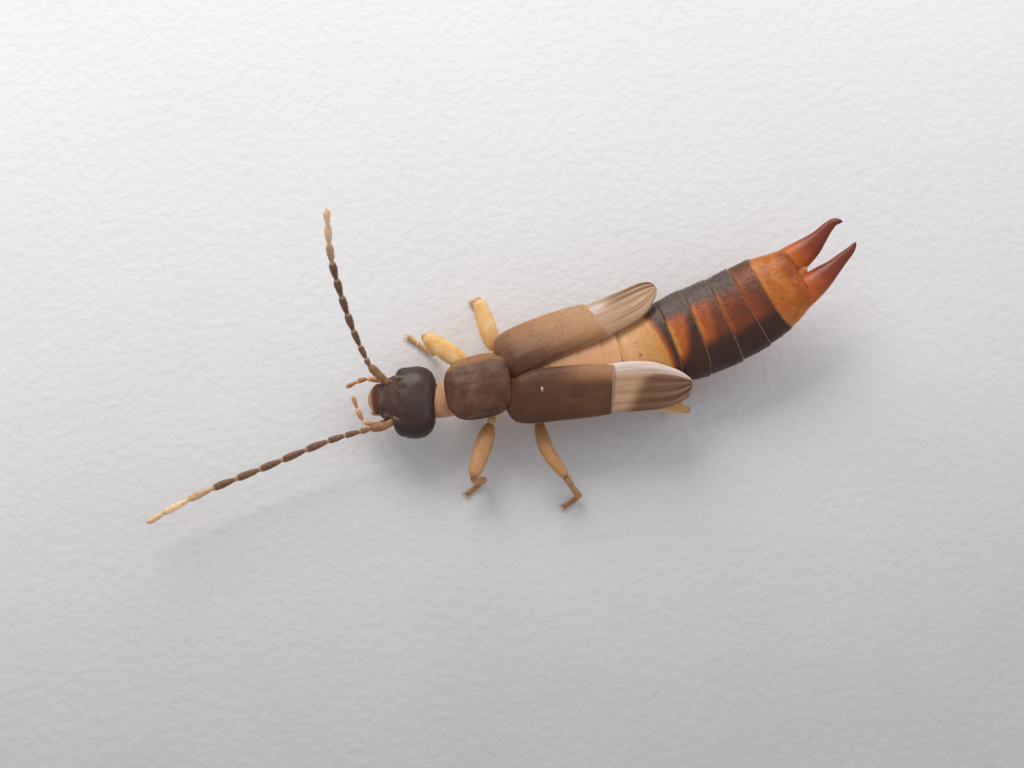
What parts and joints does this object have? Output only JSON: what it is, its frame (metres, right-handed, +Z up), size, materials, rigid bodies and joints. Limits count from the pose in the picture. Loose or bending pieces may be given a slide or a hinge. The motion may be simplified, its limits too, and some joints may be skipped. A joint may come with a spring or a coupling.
{
  "type": "earwig",
  "caption": "Small pale-legged earwig, life size, standing: flat dark head, beaded feelers, short wing cases, folded hind wings, banded abdomen and forceps.",
  "frame": {"origin": "on the floor, below the middle of the whole animal's bounding box", "axes": "+Z up; +X towards the tail, the head is towards -X; +Y is the animal's right side"},
  "size_m": [0.0088, 0.0034, 0.0022],
  "materials": {
    "head_shell": "satin dark brown shell",
    "eye_shell": "fine-grained near-black facets",
    "mouthparts": "satin reddish tan shell",
    "feeler_shell": "matt brown joints with pale rings, pale tips",
    "soft_membrane": "soft pale membrane",
    "pronotum_shell": "satin brown shell with paler margins",
    "wing_case": "leathery brown, fine lengthwise streaks",
    "hind_wing": "pale folded membrane with brown folds",
    "abdomen_shell": "satin orange to dark brown bands",
    "forceps_horn": "glossy orange to red-brown horn",
    "leg_shell": "satin translucent amber shell"
  },
  "bodies": {
    "root": {"head": "head_shell", "labrum": "mouthparts", "eye_right": "eye_shell", "eye_left": "eye_shell", "antenna_right_scape": "feeler_shell", "antenna_right_flagellum": "feeler_shell", "antenna_left_scape": "feeler_shell", "antenna_left_flagellum": "feeler_shell", "palp_right": "mouthparts", "palp_left": "mouthparts", "neck": "soft_membrane", "pronotum": "pronotum_shell", "prothorax": "soft_membrane", "tegmen_left": "wing_case", "tegmen_right": "wing_case", "hindwing_right": "hind_wing", "hindwing_left": "hind_wing", "thorax": "soft_membrane", "abdomen_base": "abdomen_shell", "abdomen_4": "abdomen_shell", "abdomen_5": "abdomen_shell", "abdomen_6": "abdomen_shell", "abdomen_7": "abdomen_shell", "abdomen_last": "abdomen_shell", "forceps_right": "forceps_horn", "forceps_left": "forceps_horn", "pygidium": "abdomen_shell", "leg_left_fore_femur": "leg_shell", "leg_left_fore_tibia": "leg_shell", "leg_left_fore_tarsus": "leg_shell", "leg_left_mid_femur": "leg_shell", "leg_left_mid_tibia": "leg_shell", "leg_left_mid_tarsus": "leg_shell", "leg_left_hind_femur": "leg_shell", "leg_left_hind_tibia": "leg_shell", "leg_left_hind_tarsus": "leg_shell", "leg_right_fore_femur": "leg_shell", "leg_right_fore_tibia": "leg_shell", "leg_right_fore_tarsus": "leg_shell", "leg_right_mid_femur": "leg_shell", "leg_right_mid_tibia": "leg_shell", "leg_right_mid_tarsus": "leg_shell", "leg_right_hind_femur": "leg_shell", "leg_right_hind_tibia": "leg_shell", "leg_right_hind_tarsus": "leg_shell"}
  },
  "joints": []
}
